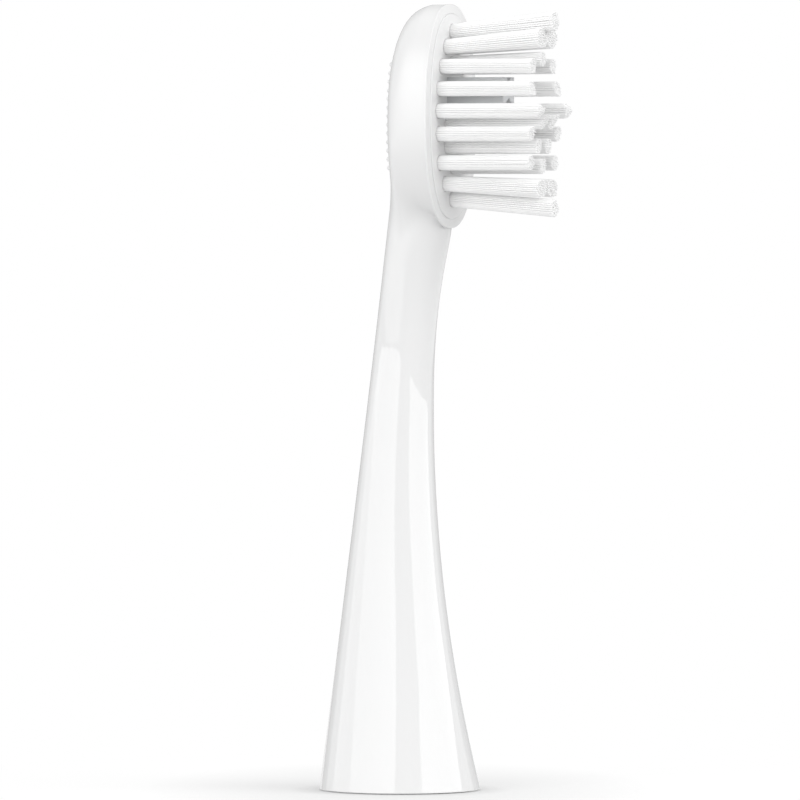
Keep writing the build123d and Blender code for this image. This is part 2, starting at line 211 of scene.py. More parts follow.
class BrushHeadSizes(bpy.types.PropertyGroup):
    """Sizes of the oval head, its rim and the studded pad."""

    centre_height: length("Centre height", 65.2, "Height of the head's centre")
    half_length: length("Half length", 10.8, "Half length of the oval face")
    half_width: length("Half width", 5.8, "Half width of the oval face")
    oval_power: ratio("Oval power", 2.35, "Power of the oval outline, two for an ellipse")
    face: length("Face", 5.46, "Distance of the face from the drive axis")
    face_round: length("Face edge round", 0.1, "Rounding of the edge round the face")
    side_depth: length("Side depth", 1.7, "Depth of the straight side behind the face")
    rim_depth: length("Rim depth", 0.18, "Thickness of the rim where its foot hangs over the neck")
    undercut: length("Undercut", 0.8, "How far the rim's foot hangs over the neck")
    back_depth: length("Back depth", 3.65, "Depth of the rounded back")
    back_drop: length("Back drop", 0.95, "How far the rounded back sinks towards the neck")
    back_power: ratio("Back power", 3.0, "Power of the rounded back's profile")
    rim_rise: length("Rim rise", 0.06, "Radius of the hollow round where the rim meets the tuft plate")
    seat_gap: length("Seat gap", 0.004, "Clear gap round the tuft plate")
    seat_ledge: length("Seat ledge", 0.8, "Width of the ledge that the tuft plate rests on")
    root_space: length("Root space", 0.6, "Depth of the space for the tufts' roots below the ledge")
    pad_corner: length("Pad corner", 2.0, "Corner radius of the studded pad")
    pad_proud: length("Pad proud", 0.03, "How far the pad stands off the body")
    bed_rim: length("Bed rim", 0.8, "Width of the pad's rim that lies on the skin")
    bed_depth: length("Bed depth", 0.5, "Depth of the bed under the pad")
    stud_radius: length("Stud radius", 0.24, "Radius of one stud")
    stud_height: length("Stud height", 0.25, "Height of one stud")
    stud_rows: IntProperty(name="Stud rows", description="Rows of studs along the head", default=13, min=2)
    stud_columns: IntProperty(name="Stud columns", description="Studs across the head", default=7, min=2)
    stud_row_pitch: length("Stud row pitch", 0.83, "Distance between rows of studs")
    stud_column_pitch: length("Stud column pitch", 1.08, "Distance between studs across the head")


class BrushTuftSizes(bpy.types.PropertyGroup):
    """Sizes of the tufts, their filaments and the trimmed wave."""

    tuft_radius: length("Tuft radius", 0.735, "Radius of one tuft at the plate")
    filament_radius: length("Filament radius", 0.08, "Radius of one nylon filament")
    ring_half_length: length("Ring half length", 8.18, "Half length of the ring of tufts")
    ring_half_width: length("Ring half width", 3.18, "Half width of the ring of tufts")
    root_radius: length("Root radius", 0.85, "Radius of the melted root behind the plate")
    root_depth: length("Root depth", 0.4, "Depth of the melted root behind the plate")
    trim: length("Trim", 9.58, "Shortest length above the plate")
    crest: length("Crest", 1.4, "Extra length at the middle of the wave")
    crest_offset: length("Crest offset", 0.5, "How far above the head's centre the crest lies")
    crest_width: length("Crest width", 1.05, "Distance at which the crest has half its height")
    second_rise: length("Second rise", 0.48, "Extra length of the last but one tufts")
    second_start: length("Second start", 6.1, "Distance from the centre at which that rise starts")
    end_rise: length("End rise", 0.85, "Further length of the end tufts")
    end_start: length("End start", 7.95, "Distance from the centre at which that rise starts")
    step_run: length("Step run", 0.35, "Run of each rise")
    spread_run: length("Spread run", 12.91, "Length over which a tuft reaches its full spread")
    tip_jitter: length("Tip jitter", 0.045, "Uneven length of single filaments")
    tip_round: length("Tip round", 0.2, "Length over which a filament's end rounds off")
    pinch: ratio("Pinch", 0.965, "Share of its width to which a tuft is pinched in its hole")
    pinch_run: length("Pinch run", 0.9, "Length above the plate over which the pinch eases out")
    splay: length("Splay", 0.01, "Uneven lean of single filaments at their tips")


class BrushFinishes(bpy.types.PropertyGroup):
    """Colours of the finishes."""

    body: colour("Body white", (0.878, 0.879, 0.879), "Gloss white of the moulded body")
    plate: colour("Plate white", (0.895, 0.896, 0.896), "Satin white of the tuft plate")
    nylon: colour("Nylon white", (0.985, 0.985, 0.985), "White of the nylon filaments")
    post: colour("Post grey", (0.62, 0.63, 0.64), "Soft pale grey of the massage post")
    pad: colour("Pad white", (0.86, 0.861, 0.861), "Soft white of the studded pad")
    insert: colour("Insert white", (0.70, 0.71, 0.72), "Natural white of the drive socket")
    steel: colour("Clip steel", (0.60, 0.61, 0.63), "Spring steel of the clip")


class BrushStudio(bpy.types.PropertyGroup):
    """Camera, lamps and floor."""

    azimuth: ratio("Camera azimuth", 25.3, "Degrees round the object from the -Y side towards +X")
    distance: length("Camera distance", 875, "Level distance of the camera from the drive axis")
    camera_height: length("Camera height", 57.77, "Height of the camera over the floor")
    aim_height: length("Aim height", 37.77, "Height on the drive axis that the camera looks at")
    lens: ratio("Lens", 406.8, "Focal length in millimetres for a 36 mm frame")
    world_fill: ratio("World fill", 0.8, "Strength of the soft light from all round")
    key: ratio("Key softbox", 2.9, "Radiance of the softbox left of the camera")
    side: ratio("Side softbox", 1.68, "Radiance of the softbox on the bristles' side")
    strips: ratio("Strips", 3.2, "Radiance of the two bright panels that the gloss mirrors")
    neck_glow: ratio("Neck glow", 2.1, "Radiance of the near panel that the neck mirrors")
    flags: ratio("Flags", 0.4, "Radiance of the two dark cards that edge the gloss")
    floor: colour("Floor white", (0.62, 0.62, 0.62), "White of the floor")


# Places of the tufts as shares of the ring: along, across, lean outwards in degrees, spread of the tip and
# how far the tip widens towards the middle line
RING_ROWS = np.array([
    (1.0, 0.0, 4.9, 1.35, 0.0),
    (0.817, 0.44, 4.5, 1.42, 0.52),
    (0.585, 0.74, 0.0, 1.0, 0.0),
    (0.32, 0.925, 0.0, 1.0, 0.0),
    (0.06, 1.0, 0.0, 1.0, 0.0),
    (-0.21, 0.97, 0.0, 1.0, 0.0),
    (-0.55, 0.89, 0.0, 1.0, 0.0),
    (-0.795, 0.515, -2.5, 1.25, 0.66),
    (-0.98, 0.0, -4.4, 1.22, 0.0),
])
INNER_ROWS = np.array([
    (0.62, 0.0, 2.2, 1.0, 0.0),
    (-0.07, 0.33, 0.0, 1.0, 0.0),
    (-0.355, 0.36, 0.0, 1.0, 0.0),
    (-0.59, 0.0, 0.0, 1.0, 0.0),
])

# Panels that only the gloss mirrors: left and right edge as (elevation, azimuth from the camera) in degrees
# Two bright strips for the stem, a near panel for the neck and two dark flags for the outline's edges
LEFT_STRIP = (
    ((0, -13), (0.4, -22), (1.6, -39), (3.1, -60), (4.1, -78), (4.6, -104), (5.3, -105), (6.5, -97), (8, -93),
     (9, -87), (9.8, -80), (10.6, -77), (32, -72)),
    ((0, -12), (0.7, -8), (2.6, -8), (3.7, -7), (6.4, -4), (8.6, 0), (10.5, 3), (12.5, 2), (14.4, 0),
     (16.5, -4), (17.5, -8), (18.8, -18), (32, -40)),
)
RIGHT_STRIP = (
    ((-1.8, 100), (-1.7, 70), (-1.56, 52), (-1.46, 37), (-1.38, 28), (-0.7, 28), (0.3, 32), (1.7, 34),
     (3.4, 36), (5.9, 40), (8.4, 44), (12.4, 44), (13.8, 43), (15.2, 39), (18, 34), (20.6, 26), (32, 20)),
    ((-1.8, 105), (-1.5, 110), (0, 112), (5, 116), (6.4, 114), (8.8, 108), (11.3, 102), (14.5, 90),
     (20, 70), (24, 64), (32, 54)),
)
NECK_GLOW = (
    ((-4.5, -112), (4.9, -112)),
    ((-4.5, -26), (0.4, -24), (2.2, -42), (3.7, -62), (4.6, -80), (4.9, -108)),
)
LEFT_FLAG = (((-20, -179), (60, -179)), ((-20, -132), (60, -132)))
RIGHT_FLAG = (((-20, 132), (60, 132)), ((-20, 179), (60, 179)))


def both_sides(rows):
    """Each row off the centre line becomes two, first at minus and then at plus its place across."""
    mirrored = rows * [1, -1, 1, 1, 1]
    return np.concatenate([[other, row] if row[1] > 0 else [row] for other, row in zip(mirrored, rows)])


def turns(count):
    """Angles of points spaced evenly round a circle."""
    return np.linspace(0, 2 * np.pi, count, endpoint=False)


def unit(headings):
    """Headings scaled to a length of one."""
    return headings / np.linalg.norm(headings, axis=-1, keepdims=True)


def halving(inside, high):
    """Greatest measure between zero and high that is still inside, by halving."""
    low = np.zeros_like(high)
    for _ in range(HALVINGS):
        middle = (low + high) / 2
        kept = inside(middle)
        low, high = np.where(kept, middle, low), np.where(kept, high, middle)
    return low


def wrap_quads(rows, columns):
    """Quads of a grid of closed rings, numbered ring by ring."""
    ring, place = np.meshgrid(np.arange(rows - 1), np.arange(columns), indexing="ij")
    low, beside = ring * columns + place, ring * columns + (place + 1) % columns
    return np.stack([low, beside, beside + columns, low + columns], axis=-1).reshape(-1, 4)


def fan(pole, ring_start, columns):
    """Triangles from one pole to a closed ring."""
    place = np.arange(columns)
    return np.stack([np.full(columns, pole), ring_start + (place + 1) % columns, ring_start + place], axis=-1)


def signed_volume(points, quads):
    """Six times the volume inside a closed mesh of quads, positive when its faces point outwards."""
    a, b, c, d = (points[quads[:, i]] for i in range(4))
    return np.einsum("ij,ij->i", a, np.cross(b, c)).sum() + np.einsum("ij,ij->i", a, np.cross(c, d)).sum()


def repeated(faces, count, step):
    """Faces of one form repeated for a count of forms with step points each."""
    return (np.arange(count)[:, None, None] * step + faces).reshape(-1, faces.shape[-1])


def closed_shell(rings, start, end, first=0):
    """Points, and faces numbered from first, of rings closed by a pole at each end, facing outwards."""
    rows, columns = rings.shape[:2]
    points = np.concatenate([rings.reshape(-1, 3), [start, end]])
    quads = wrap_quads(rows, columns)
    caps = np.concatenate([fan(rows * columns, 0, columns),
                           fan(rows * columns + 1, (rows - 1) * columns, columns)[:, ::-1]])
    if signed_volume(points, quads) < 0:
        quads, caps = quads[:, ::-1], caps[:, ::-1]
    return points, (quads + first).tolist() + (caps + first).tolist()


def new_object(name, points, faces, material):
    """Mesh object of the points and faces with one material, linked to the scene."""
    mesh = bpy.data.meshes.new(name)
    mesh.from_pydata(np.asarray(points).tolist(), [], faces)
    mesh.materials.append(material)
    made = bpy.data.objects.new(name, mesh)
    bpy.context.scene.collection.objects.link(made)
    return made


def put_piece(name, points, faces, material, nodes, sharp=BODY_SHARP):
    """Piece of the part, smooth but for edges sharper than an angle, riding on the frame."""
    piece = new_object(name, points, faces, material)
    piece.data.validate()
    piece.data.shade_smooth()
    piece.data.set_sharp_from_angle(angle=sharp)
    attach(piece, BODY)
    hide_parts(*nodes)


def front_edge(stem, head, height):
    """Front of the side outline: a square law down to the base and a power law up to the head.

    Round the head's foot the power law's share eases out to one: it loses the logarithm of one plus
    the exponential of its excess.
    """
    foot = head.centre_height - head.half_length
    below = np.clip(stem.waist_height - height, 0, None) / stem.waist_height
    above = (height - stem.waist_height) / (foot - stem.waist_height)
    above = np.clip(above - np.logaddexp(0, NECK_EASE * (above - 1)) / NECK_EASE, 0, None)
    return (stem.waist_front + (stem.base_radius - stem.waist_front) * below**2
            + (stem.neck_front - stem.waist_front) * above**stem.neck_sweep)


def back_edge(stem, head, height):
    """Back of the side outline: one straight line from the base past the neck."""
    foot = head.centre_height - head.half_length
    return -stem.base_radius + (stem.base_radius - stem.neck_back) * height / foot


def body_field(stem, head, p):
    """Below zero inside the body: smooth union of stem and head, and then of the thin rim round the face.

    The head is an oval that shrinks towards its back, and below its centre it lies inside the rim,
    so that the rim's foot hangs over the neck. The blend of stem and head fades out towards the face.
    """
    x, y, z = p[..., 0], p[..., 1], p[..., 2]
    front, back = front_edge(stem, head, z), back_edge(stem, head, z)
    tube = np.hypot(x - (front + back) / 2, y) - (front - back) / 2
    tube = np.maximum(tube, z - head.centre_height)
    sunk = np.clip((head.face - head.side_depth - x) / head.back_depth, 0, None)
    rise = z - head.centre_height + head.back_drop * sunk
    half_length = head.half_length - np.where(rise < 0, head.undercut, 0)
    power = head.back_power
    reach = oval_reach(head, rise / half_length, y / head.half_width)
    dome = ((reach**power + sunk**power) ** (1 / power) - 1) * head.half_width
    blend = stem.neck_blend * np.clip((head.face - x) / stem.blend_fade, 0, 1) ** 2 + stem.lip_blend
    rim = oval_reach(head, (z - head.centre_height) / head.half_length, y / head.half_width) - 1
    rim = np.maximum(rim * head.half_width, head.face - head.rim_depth - x)
    return smooth_union(smooth_union(tube, dome, blend), rim, stem.lip_blend)


def oval_reach(head, along, across):
    """Size of the oval through a place, as a share of the full oval."""
    return (np.abs(along) ** head.oval_power + np.abs(across) ** head.oval_power) ** (1 / head.oval_power)


def smooth_union(first, second, blend):
    """Lesser of two measures, less a quarter of the blend times the square of their overlap's share."""
    overlap = np.clip(blend - np.abs(first - second), 0, None) / blend
    return np.minimum(first, second) - blend * overlap**2 / 4


def skin_reach(stem, head, start, heading):
    """Distance from points inside the body to its skin along headings."""
    most = np.full(np.broadcast(start, heading).shape[:-1], 2 * head.half_length)
    return halving(lambda reach: body_field(stem, head, start + reach[..., None] * heading) < 0, most)


def skin_rings(stem, head, starts, forwards, columns):
    """Rings of the skin in the planes of each forward heading and Y, spaced like an ellipse's points."""
    ahead = skin_reach(stem, head, starts, forwards)
    behind = skin_reach(stem, head, starts, -forwards)
    centres = starts + ((ahead - behind) / 2)[:, None] * forwards
    half_length = (ahead + behind) / 2
    half_width = skin_reach(stem, head, centres, np.broadcast_to(ACROSS, centres.shape))
    turn = turns(columns)
    along = half_length[:, None] * np.cos(turn)
    across = half_width[:, None] * np.sin(turn)
    heading = unit(along[..., None] * forwards[:, None] + across[..., None] * ACROSS)
    reach = skin_reach(stem, head, centres[:, None], heading)
    return centres[:, None] + reach[..., None] * heading


def outer_rings(stem, head):
    """Level rings up the stem, then rings that tip about a line before the neck up to the face."""
    face = head.face - head.face_round
    foot = head.centre_height - head.half_length
    pivot = foot - stem.pivot_drop
    edge = stem.foot_height + stem.base_round
    heights = np.linspace(edge, pivot, STEM_ROWS, endpoint=False)
    heights = np.insert(heights, 1, edge + stem.base_round)
    middle = (front_edge(stem, head, heights) + back_edge(stem, head, heights)) / 2
    level = np.stack([middle, 0 * middle, heights], axis=-1)
    turned = 1 - (1 - np.linspace(0, 1, HEAD_ROWS)) ** TURN_POWER
    tip = np.pi / 2 * turned
    tipped = np.stack([np.cos(tip), 0 * tip, -np.sin(tip)], axis=-1)
    near = face - (front_edge(stem, head, pivot) + back_edge(stem, head, pivot)) / 2
    reach = near + (head.centre_height - pivot - near) * turned**REACH_POWER
    starts = np.array([face, 0, pivot]) - reach[:, None] * tipped
    ahead = np.broadcast_to([1.0, 0.0, 0.0], level.shape)
    forwards = np.concatenate([ahead, tipped])
    return skin_rings(stem, head, np.concatenate([level, starts]), forwards, BODY_COLUMNS)


def base_rings(stem, ring):
    """Quarter-round of the base edge below a ring, then the relief and the foot that it stands on.

    Each step of the round moves in by the round less its cosine.
    """
    angle = np.linspace(0, np.pi / 2, BASE_STEPS + 1)[1:]
    outwards = unit(ring - ring.mean(axis=0))
    moved_in = np.append(stem.base_round * (1 - np.cos(angle)), [stem.foot_inset, stem.foot_inset])
    heights = np.append(stem.foot_height + stem.base_round * (1 - np.sin(angle)), [stem.foot_height, 0])
    rings = ring - moved_in[:, None, None] * outwards
    rings[..., 2] = heights[:, None]
    return rings[::-1]


def ring_normals(ring):
    """Outward headings in the plane of a ring that faces +X, square to its run."""
    run = np.roll(ring, -1, axis=0) - np.roll(ring, 1, axis=0)
    square = unit(np.stack([0 * run[:, 0], run[:, 2], -run[:, 1]], axis=-1))
    inwards = np.einsum("ij,ij->i", square, ring - ring.mean(axis=0)) < 0
    return np.where(inwards[:, None], -square, square)


def oval_ring(head, heading, half_length, half_width, x):
    """Oval outline at a distance x, along headings from the head's centre."""
    reach = oval_reach(head, heading[:, 2] / half_length, heading[:, 1] / half_width)
    ring = heading / reach[:, None] + np.array([0, 0, head.centre_height])
    ring[:, 0] = x
    return ring


def face_rings(head, ring):
    """Rounded edge, flat rim, hollow round, seat wall, ledge and root space inside a ring behind the face."""
    hollow = np.linspace(0, np.pi / 2, FACE_STEPS + 1)
    angle = hollow[1:]
    edge = ring - (head.face_round * (1 - np.cos(angle)))[:, None, None] * ring_normals(ring)
    edge[..., 0] = (head.face - head.face_round * (1 - np.sin(angle)))[:, None]
    heading = ring - np.array([0, 0, head.centre_height])
    heading[:, 0] = 0
    heading = unit(heading)
    seat_length = (PLATE_HIGH.z - PLATE_LOW.z) / 2 + head.seat_gap
    seat_width = (PLATE_HIGH.y - PLATE_LOW.y) / 2 + head.seat_gap
    moved_out = head.rim_rise * (1 - np.sin(hollow))
    raised = head.face + head.rim_rise * (1 - np.cos(hollow))
    insets = [*moved_out, 0, -head.seat_ledge, -head.seat_ledge]
    depths = [*raised, PLATE_LOW.x, PLATE_LOW.x, PLATE_LOW.x - head.root_space]
    inner = [oval_ring(head, heading, seat_length + inset, seat_width + inset, x)
             for inset, x in zip(insets, depths)]
    return np.concatenate([edge, np.stack(inner)])


def hollow_rings(stem):
    """Pocket, shoulder and tapered hollow from the socket's top to the base, and the middle of that top."""
    shoulder = SOCKET_LOW.z + stem.shoulder_rise
    top = SOCKET_HIGH.z + stem.pocket_gap
    radii = np.array([stem.pocket_radius, stem.pocket_radius, stem.throat_radius, stem.mouth_radius,
                      stem.mouth_radius + stem.mouth_bevel])
    heights = np.array([top, shoulder, shoulder, stem.mouth_bevel, 0.0])
    turn = turns(BODY_COLUMNS)
    rings = radii[:, None, None] * np.stack([np.cos(turn), np.sin(turn), 0 * turn], axis=-1)
    rings[..., 2] = heights[:, None]
    return rings, np.array([0, 0, top])


def pad_depth(head, y, z):
    """Distance inside the pad's rounded outline, below zero outside it."""
    over = np.stack([np.abs(y) - PAD_HALF_WIDTH, np.abs(z - head.centre_height) - PAD_HALF_LENGTH], axis=-1)
    over = over + head.pad_corner
    outside = np.linalg.norm(np.clip(over, 0, None), axis=-1)
    return head.pad_corner - outside - np.minimum(over.max(axis=-1), 0)


def bed_sink(head, y, z):
    """Depth of the pad's bed: zero round its rim, then an eased step down further inside."""
    share = np.clip((pad_depth(head, y, z) - head.bed_rim) / head.bed_depth, 0, 1)
    return head.bed_depth * share**2 * (3 - 2 * share)


def sink_pad_bed(head, rings):
    """Rings with the pad's bed pressed into the back of the head."""
    behind = rings[..., 0] < head.face - head.side_depth - head.bed_depth
    sunk = rings.copy()
    sunk[..., 0] += np.where(behind, bed_sink(head, rings[..., 1], rings[..., 2]), 0)
    return sunk


def back_of_body(stem, head, y, z):
    """X of the body's back at places across and heights."""
    start = np.stack([np.full_like(y, PAD_HIGH.x), y, z], axis=-1)
    return PAD_HIGH.x - skin_reach(stem, head, start, np.broadcast_to([-1.0, 0.0, 0.0], start.shape))


def pad_outline(head):
    """Rounded rectangle as places across and along, on headings from its centre."""
    turn = turns(PAD_COLUMNS)
    heading = np.stack([PAD_HALF_WIDTH * np.cos(turn), PAD_HALF_LENGTH * np.sin(turn)], axis=-1)
    y, z = heading.T
    reach = halving(lambda share: pad_depth(head, share * y, head.centre_height + share * z) > 0,
                    np.full(PAD_COLUMNS, 2.0))
    return heading * reach[:, None]


def pad_shell(stem, head):
    """Points and faces of the pad: a round-edged skin over the body's back that fills most of its bed."""
    outline = pad_outline(head)
    share = np.concatenate([np.linspace(*PAD_SPAN, PAD_ROWS), PAD_EDGE[:, 0]])[:, None]
    raised = np.concatenate([np.ones(PAD_ROWS), PAD_EDGE[:, 1]])[:, None] * head.pad_proud
    y = share * outline[:, 0]
    z = head.centre_height + share * outline[:, 1]
    skin = back_of_body(stem, head, y, z)
    top = np.stack([skin - raised, y, z], axis=-1)
    under = np.stack([skin + PAD_FILL * bed_sink(head, y, z), y, z], axis=-1)[-2:0:-1]
    middle_x = back_of_body(stem, head, np.zeros(1), np.array([head.centre_height]))[0]
    middle = np.array([middle_x, 0, head.centre_height])
    return closed_shell(np.concatenate([top, under]), middle - [head.pad_proud, 0, 0],
                        middle + [PAD_FILL * head.bed_depth, 0, 0])


def stud_feet(stem, head):
    """Places of the studs on the body's back, in rows and columns about the head's centre."""
    row = (np.arange(head.stud_rows) - (head.stud_rows - 1) / 2) * head.stud_row_pitch
    column = (np.arange(head.stud_columns) - (head.stud_columns - 1) / 2) * head.stud_column_pitch
    z, y = (a.ravel() for a in np.meshgrid(head.centre_height + row, column, indexing="ij"))
    return np.stack([back_of_body(stem, head, y, z), y, z], axis=-1)


def stud_domes(head, feet):
    """One small dome over each foot: rings with an angle's sine as radius and its cosine as height."""
    turn = turns(STUD_SIDES)
    reach = head.stud_radius * np.sin(STUD_ANGLES)[:, None]
    rings = np.stack([-head.stud_height * np.cos(STUD_ANGLES)[:, None] + 0 * turn,
                      reach * np.cos(turn), reach * np.sin(turn)], axis=-1).reshape(-1, 3)
    dome = np.concatenate([rings, [(-head.stud_height, 0, 0)]])
    rows, count = len(STUD_ANGLES), len(dome)
    quads = repeated(wrap_quads(rows, STUD_SIDES)[:, ::-1], len(feet), count)
    caps = repeated(fan(count - 1, (rows - 1) * STUD_SIDES, STUD_SIDES), len(feet), count)
    return (feet[:, None] + dome).reshape(-1, 3), quads, caps


def trim_length(head, tufts, heights, middle):
    """Length above the plate: a bell-shaped crest near the head's middle and two steps up towards its ends.

    The bell is the crest over one plus the square of the distance in crest widths, filament by
    filament. The steps go by the height of the tuft's middle, so a tuft's end stays whole.
    """
    along = heights - head.centre_height - tufts.crest_offset
    bell = tufts.crest / (1 + (along / tufts.crest_width) ** 2)
    second, last = (np.clip((abs(middle - head.centre_height) - start) / tufts.step_run, 0, 1)
                    for start in (tufts.second_start, tufts.end_start))
    return tufts.trim + bell + tufts.second_rise * second + tufts.end_rise * last


def filament_places(tufts, jitter):
    """Rings of filaments round the tuft's axis, each ring turned from the last, a little uneven."""
    pitch = (tufts.tuft_radius - tufts.filament_radius) / (len(RING_COUNTS) - 1)
    ring = np.repeat(np.arange(len(RING_COUNTS)), RING_COUNTS)
    order = np.concatenate([np.arange(count) for count in RING_COUNTS])
    turn = 2 * np.pi * order / np.repeat(RING_COUNTS, RING_COUNTS) + RING_TWIST * ring
    places = pitch * ring[:, None] * np.stack([np.cos(turn), np.sin(turn)], axis=-1)
    return places + jitter.normal(0, RING_UNEVEN * tufts.filament_radius, places.shape)


def tuft_bundle(head, tufts, row, seed):
    """Filaments of one tuft: round tubes with domed tips, fanned by its spread and trimmed by the wave.

    Each is pinched at its hole, fans out in step with its run and drifts by the square of its share.
    Widening towards the middle line grows from the tuft's outer edge, which stays in place.
    """
    along, across, lean, spread, gather = row
    jitter = np.random.default_rng(seed)
    axis = np.array([np.cos(np.radians(lean)), 0, np.sin(np.radians(lean))])
    plane = np.stack([ACROSS, np.array([-axis[2], 0, axis[0]])])
    place = np.array([PLATE_HIGH.x, across * tufts.ring_half_width,
                      head.centre_height + along * tufts.ring_half_length])
    places = filament_places(tufts, jitter)
    count = len(places)
    offset = places @ plane
    drift = tufts.splay * jitter.normal(0, 1, (count, 2)) @ plane
    inward = places[:, :1] - np.sign(across) * tufts.tuft_radius
    widen = offset * (spread - 1) + gather * inward * ACROSS
    end = np.full(count, tufts.trim)
    for _ in range(TRIM_ROUNDS):
        tip = place + axis * end[:, None] + offset + widen * end[:, None] / tufts.spread_run + drift
        wanted = trim_length(head, tufts, tip[:, 2], tip[:, 2].mean())
        end = end + (place[0] + wanted - tip[:, 0]) / axis[0]
    end += jitter.normal(0, tufts.tip_jitter, count)
    sunk = (PLATE_LOW.x - PLATE_HIGH.x) / axis[0]
    straight = end[:, None] - tufts.tip_round - tufts.pinch_run
    run = np.concatenate([np.full((count, 1), sunk), np.zeros((count, 1)),
                          tufts.pinch_run + straight * np.linspace(0, 1, FILAMENT_STEPS + 1),
                          end[:, None] - tufts.tip_round * TIP_PLACES], axis=1)
    grow = np.clip(run, 0, None)
    held = tufts.pinch + (1 - tufts.pinch) * np.clip(grow / tufts.pinch_run, 0, 1)
    fanned = grow / tufts.spread_run
    line = (place + run[..., None] * axis
            + held[..., None] * (offset[:, None] + fanned[..., None] * widen[:, None])
            + (grow / end[:, None])[..., None] ** 2 * drift[:, None])
    rows = run.shape[1]
    width = np.append(np.ones(rows - len(TIP_WIDTHS)), TIP_WIDTHS) * tufts.filament_radius
    width = width * (1 + (spread - 1) * fanned)
    turn = turns(FILAMENT_SIDES)
    hoop = np.stack([np.cos(turn), np.sin(turn)], axis=-1) @ plane
    tubes = line[:, :, None] + width[..., None, None] * hoop
    tips = line[:, -1] + axis * (TIP_PLACES[-1] * tufts.tip_round)
    points = np.concatenate([tubes.reshape(count, -1, 3), tips[:, None]], axis=1)
    step = points.shape[1]
    points = points.reshape(-1, 3)
    quads = repeated(wrap_quads(rows, FILAMENT_SIDES), count, step)
    caps = repeated(fan(step - 1, (rows - 1) * FILAMENT_SIDES, FILAMENT_SIDES)[:, ::-1], count, step)
    root, root_faces = tuft_root(tufts, place + axis * sunk, len(points))
    return np.concatenate([points, root]), quads.tolist() + caps.tolist() + root_faces


def tuft_root(tufts, place, first):
    """Melted root: a low round disc with a rounded rim behind the plate, its points numbered from first."""
    turn = turns(ROOT_SIDES)
    depth = ROOT_PROFILE[:, :1] * tufts.root_depth
    radius = ROOT_PROFILE[:, 1:] * tufts.root_radius
    rings = np.stack([PLATE_LOW.x - depth + 0 * turn,
                      place[1] + radius * np.cos(turn),
                      place[2] + radius * np.sin(turn)], axis=-1)
    start = np.array([PLATE_LOW.x, place[1], place[2]])
    return closed_shell(rings, start, start - np.array([tufts.root_depth, 0, 0]), first)


class Wire:
    """One shader value that takes part in arithmetic: each operator adds a Math node."""

    def __init__(self, shader, socket):
        self.shader = shader
        self.socket = socket

    def maths(self, operation, *values):
        return self.shader.node("ShaderNodeMath", {"operation": operation}, *values)

    def __add__(self, other):
        return self.maths("ADD", self, other)

    def __sub__(self, other):
        return self.maths("SUBTRACT", self, other)

    def __rsub__(self, other):
        return self.maths("SUBTRACT", other, self)

    def __mul__(self, other):
        return self.maths("MULTIPLY", self, other)

    def at_most(self, other):
        return self.maths("MINIMUM", self, other)

    def at_least(self, other):
        return self.maths("MAXIMUM", self, other)

    def ramp(self, start, slope):
        """Distance past the start times the slope, held between zero and one."""
        return ((self - start) * slope).at_least(0.0).at_most(1.0)

    __radd__ = __add__
    __rmul__ = __mul__


class Shader:
    """Node tree of one material or world, with one method that adds any node."""

    def __init__(self, owner):
        owner.use_nodes = True
        self.tree = owner.node_tree
        self.tree.nodes.clear()

    def node(self, kind, settings=None, *values, output=0, **named):
        """Adds a node, sets its settings, then its inputs by order and by name, and gives an output."""
        made = self.tree.nodes.new(kind)
        for key, value in (settings or {}).items():
            setattr(made, key, value)
        for key, value in [*enumerate(values), *((k.replace("_", " "), v) for k, v in named.items())]:
            self.feed(made.inputs[key], value)
        return Wire(self, made.outputs[output]) if made.outputs else None

    def feed(self, socket, value):
        """Links a wire to a socket, or sets its value."""
        if isinstance(value, Wire):
            self.tree.links.new(value.socket, socket)
        else:
            socket.default_value = value

    def mix(self, share, a, b):
        """Colour between a and b by a share."""
        made = self.tree.nodes.new("ShaderNodeMix")
        made.data_type = "RGBA"
        for name, value in (("Factor_Float", share), ("A_Color", a), ("B_Color", b)):
            socket = next(s for s in made.inputs if s.identifier == name)
            self.feed(socket, value)
        return Wire(self, next(s for s in made.outputs if s.identifier == "Result_Color"))

    def noise(self, scale, detail):
        """Noise over the piece's own coordinates, scale in lumps per metre."""
        place = self.node("ShaderNodeTexCoord", output="Object")
        return self.node("ShaderNodeTexNoise", None, place, Scale=scale, Detail=detail)

    def distance(self, place):
        """Length of a vector."""
        return self.node("ShaderNodeVectorMath", {"operation": "LENGTH"}, place, output="Value")

    def finish(self, surface):
        """Links the surface to the output."""
        self.node("ShaderNodeOutputMaterial", None, surface)


def satin_share(shader, satin):
    """Roughness that rises with height from the neck to the head."""
    if not satin:
        return 0.0
    place = shader.node("ShaderNodeTexCoord", output="Object")
    height = shader.node("ShaderNodeSeparateXYZ", None, place, output="Z")
    return satin * height.ramp(*SATIN_RAMP)


def finish_material(name, colour_value, satin=0.0):
    """Moulded finish: colour and roughness vary by a soft mottle, and a fine grain bumps the surface.

    A satin above zero is added to the roughness from the top of the neck upwards.
    """
    rough, mottle, lumps, grains, grain_depth, fixed = FINISHES[name]
    material = bpy.data.materials.new(name)
    shader = Shader(material)
    cloud = shader.noise(lumps, LUMP_DETAIL)
    fine = shader.noise(grains, GRAIN_DETAIL)
    base = (*colour_value, 1.0)
    shade = (*(c * (1 - mottle) for c in colour_value), 1.0)
    bump = shader.node("ShaderNodeBump", None, Strength=BUMP_STRENGTH, Distance=grain_depth, Height=fine)
    swing = 1 - ROUGH_SWING / 2 + ROUGH_SWING * cloud
    surface = shader.node("ShaderNodeBsdfPrincipled", None,
                          Base_Color=shader.mix(cloud, base, shade),
                          Roughness=rough * swing + satin_share(shader, satin),
                          Normal=bump, **fixed)
    shader.finish(surface)
    return material


class BrushOperator(bpy.types.Operator):
    """Base of the brush head's operators."""

    bl_options = {"REGISTER", "UNDO"}


